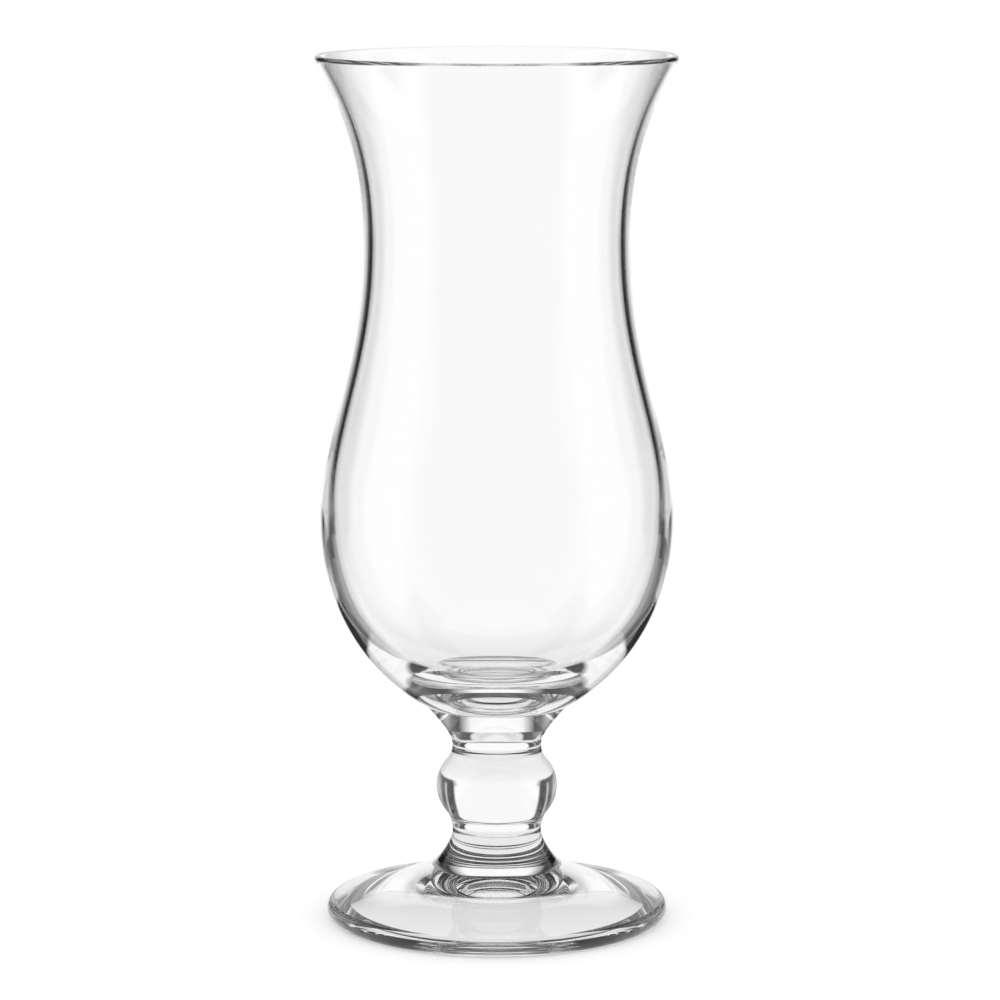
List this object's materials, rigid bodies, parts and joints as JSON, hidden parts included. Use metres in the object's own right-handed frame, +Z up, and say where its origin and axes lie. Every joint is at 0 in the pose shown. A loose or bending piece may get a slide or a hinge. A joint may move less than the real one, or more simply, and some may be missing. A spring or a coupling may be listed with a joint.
{
  "type": "hurricane glass",
  "caption": "Clear footed hurricane glass: flared rim, drawn-in waist and full lower bulge, on a short ball-knopped stem and a round foot, for mixed drinks.",
  "frame": {"origin": "middle of the ring that the foot stands on", "axes": "+Z up along the axis of the glass, from the foot to the rim; X and Y are alike"},
  "size_m": [0.085, 0.085, 0.206],
  "materials": {
    "clear_glass": "gloss"
  },
  "bodies": {
    "root": {"bowl": "clear_glass", "collar": "clear_glass", "knop": "clear_glass", "pillar": "clear_glass", "foot": "clear_glass"}
  },
  "joints": []
}
